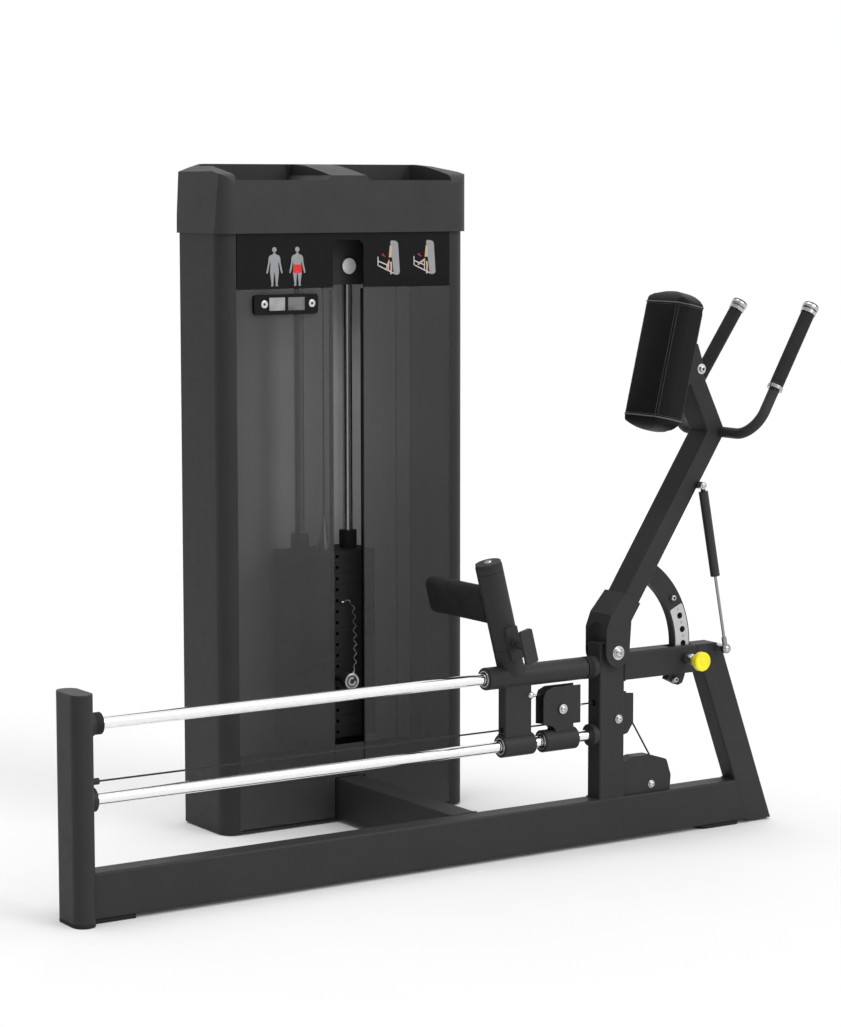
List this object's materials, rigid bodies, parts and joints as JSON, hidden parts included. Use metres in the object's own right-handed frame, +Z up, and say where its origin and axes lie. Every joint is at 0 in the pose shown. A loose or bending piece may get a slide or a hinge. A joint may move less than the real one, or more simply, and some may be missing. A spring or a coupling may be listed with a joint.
{
  "type": "standing glute machine",
  "caption": "Selectorised standing kickback machine: foot pad on a rail carriage, tilting chest pad arm with handles, shrouded weight stack tower on a low beam frame.",
  "frame": {"origin": "Centre of the footprint, on the floor", "axes": "+X along the base beam from the rail post to the rear leg, +Y from the rails to the weight tower, +Z up"},
  "size_m": [2.0282, 0.9474, 1.681],
  "materials": {
    "frame_paint": "fine matt powder coat",
    "silver_steel": "plated",
    "chrome": "polished",
    "smoked_panel": "semi-gloss smoked sheet",
    "back_sheet": "satin",
    "black_gloss": "gloss",
    "black_plastic": "fine grain",
    "grey_plastic": "satin",
    "yellow_plastic": "satin",
    "rubber": "matt",
    "cast_iron": "painted",
    "vinyl": "grained",
    "foam_grip": "ribbed",
    "cable": "nylon jacket over steel wire"
  },
  "bodies": {
    "frame": {"base_beam": "frame_paint", "base_feet": "rubber", "base_pulley_cover": "frame_paint", "cable_fixed_run": "cable", "counter_housing": "black_plastic", "cross_tube": "frame_paint", "frame_pins": "silver_steel", "front_panel_left": "smoked_panel", "front_panel_right": "smoked_panel", "guide_rods": "chrome", "instruction_placard": "black_gloss", "lock_pin_housing": "silver_steel", "post_cap": "grey_plastic", "rail_bumpers": "rubber", "rail_flanges": "frame_paint", "rail_post": "frame_paint", "rear_leg": "frame_paint", "resting_weight_plates": "cast_iron", "slide_rails": "chrome", "stack_cushion": "rubber", "stack_pedestal": "frame_paint", "top_beam": "frame_paint", "top_pulley_housing": "frame_paint", "tower_back_panel": "back_sheet", "tower_base": "frame_paint", "tower_cap": "black_plastic", "tower_columns": "frame_paint", "upright_post": "frame_paint"},
    "weight_stack": {"lifted_weight_plates": "cast_iron", "top_weight_plate": "cast_iron", "selector_rod": "silver_steel", "pin_lanyard": "cable", "cable_stack_strand": "cable"},
    "selector_pin": {"selector_pin": "black_plastic"},
    "pulley_carriage": {"pulley_carriage_frame": "frame_paint", "cable_feed_strand": "cable", "cable_anchor_strand": "cable", "cable_post_strand": "cable"},
    "carriage_pulley": {"carriage_pulley": "black_plastic"},
    "foot_carriage": {"foot_carriage_frame": "frame_paint"},
    "foot_mast": {"foot_mast": "frame_paint", "foot_pad": "rubber"},
    "release_handle": {"release_handle": "black_plastic"},
    "upright_pulley": {"upright_pulley": "black_plastic"},
    "base_pulley": {"base_pulley": "black_plastic"},
    "top_pulley_left": {"top_pulley_left": "black_plastic"},
    "top_pulley_right": {"top_pulley_right": "black_plastic"},
    "counter_button_left": {"counter_button_left": "silver_steel"},
    "counter_button_right": {"counter_button_right": "silver_steel"},
    "chest_arm": {"pivot_bracket": "frame_paint", "lower_arm": "frame_paint", "upper_arm": "frame_paint", "sector_plate": "frame_paint", "pad_bracket": "frame_paint", "chest_pad": "vinyl", "handlebar": "frame_paint", "hand_grips": "foam_grip"},
    "lock_pin": {"lock_pin": "yellow_plastic"},
    "gas_spring_rod": {"gas_spring_rod": "silver_steel"},
    "gas_spring_cylinder": {"gas_spring_cylinder": "black_plastic"}
  },
  "joints": [
    {"name": "stack_lift", "type": "slide", "parent": "frame", "child": "weight_stack", "axis": [0, 0, 1], "range_m": [0, 0.45], "deforming": ["cable_stack_strand"]},
    {"name": "selector_pin_pull", "type": "slide", "parent": "weight_stack", "child": "selector_pin", "axis": [0, -1, 0], "range_m": [0, 0.1], "deforming": ["pin_lanyard"]},
    {"name": "pulley_carriage_slide", "type": "slide", "parent": "frame", "child": "pulley_carriage", "axis": [-1, 0, 0], "range_m": [0, 0.45], "deforming": ["cable_feed_strand", "cable_post_strand"]},
    {"name": "foot_carriage_slide", "type": "slide", "parent": "pulley_carriage", "child": "foot_carriage", "axis": [-1, 0, 0], "range_m": [0, 0.45], "deforming": ["cable_anchor_strand"]},
    {"name": "foot_mast_turn", "type": "hinge", "parent": "foot_carriage", "child": "foot_mast", "pos_m": [0.1865, -0.2988, 0.445], "axis": [0.2499, 0, -0.9683], "range_deg": [0, 180]},
    {"name": "release_handle_pull", "type": "slide", "parent": "foot_mast", "child": "release_handle", "axis": [0, -1, 0], "range_m": [0, 0.01], "stiffness_N_per_m": 900, "springref_m": -0.004},
    {"name": "carriage_pulley_turn", "type": "hinge", "parent": "pulley_carriage", "child": "carriage_pulley", "pos_m": [0.324, -0.2988, 0.353], "axis": [0, 1, 0], "continuous": true},
    {"name": "upright_pulley_turn", "type": "hinge", "parent": "frame", "child": "upright_pulley", "pos_m": [0.4895, -0.2988, 0.312], "axis": [0, 1, 0], "continuous": true},
    {"name": "base_pulley_turn", "type": "hinge", "parent": "frame", "child": "base_pulley", "pos_m": [0.5995, -0.2988, 0.134], "axis": [0, 1, 0], "continuous": true},
    {"name": "top_pulley_left_turn", "type": "hinge", "parent": "frame", "child": "top_pulley_left", "pos_m": [0.0999, 0.3786, 1.423], "axis": [0, 1, 0], "continuous": true},
    {"name": "top_pulley_right_turn", "type": "hinge", "parent": "frame", "child": "top_pulley_right", "pos_m": [0.2499, 0.3786, 1.423], "axis": [0, 1, 0], "continuous": true},
    {"name": "counter_button_left_press", "type": "slide", "parent": "frame", "child": "counter_button_left", "axis": [0, 1, 0], "range_m": [0, 0.0015], "stiffness_N_per_m": 700, "springref_m": -0.001},
    {"name": "counter_button_right_press", "type": "slide", "parent": "frame", "child": "counter_button_right", "axis": [0, 1, 0], "range_m": [0, 0.0015], "stiffness_N_per_m": 700, "springref_m": -0.001},
    {"name": "arm_swing", "type": "hinge", "parent": "frame", "child": "chest_arm", "pos_m": [0.4735, -0.2988, 0.4815], "axis": [0, 1, 0], "range_deg": [0, 27.3]},
    {"name": "lock_pin_slide", "type": "slide", "parent": "frame", "child": "lock_pin", "axis": [0, 1, 0], "range_m": [0, 0.02]},
    {"name": "gas_spring_swing", "type": "hinge", "parent": "frame", "child": "gas_spring_rod", "pos_m": [0.8027, -0.3543, 0.4649], "axis": [0, 1, 0], "range_deg": [0, 27.3]},
    {"name": "gas_spring_slide", "type": "slide", "parent": "gas_spring_rod", "child": "gas_spring_cylinder", "axis": [0.1875, 0, -0.9823], "range_m": [0, 0.1558]}
  ],
  "couplings": [
    {"joint": "pulley_carriage_slide", "follows": "stack_lift", "ratio": 1},
    {"joint": "foot_carriage_slide", "follows": "stack_lift", "ratio": 1},
    {"joint": "upright_pulley_turn", "follows": "stack_lift", "rad_per_m": -23.256},
    {"joint": "base_pulley_turn", "follows": "stack_lift", "rad_per_m": -23.256},
    {"joint": "carriage_pulley_turn", "follows": "stack_lift", "rad_per_m": -26.316},
    {"joint": "top_pulley_left_turn", "follows": "stack_lift", "rad_per_m": 27.778},
    {"joint": "top_pulley_right_turn", "follows": "stack_lift", "rad_per_m": 27.778},
    {"joint": "gas_spring_swing", "follows": "arm_swing", "ratio": 0.9989},
    {"joint": "gas_spring_slide", "follows": "arm_swing", "m_per_rad": 0.3264}
  ]
}
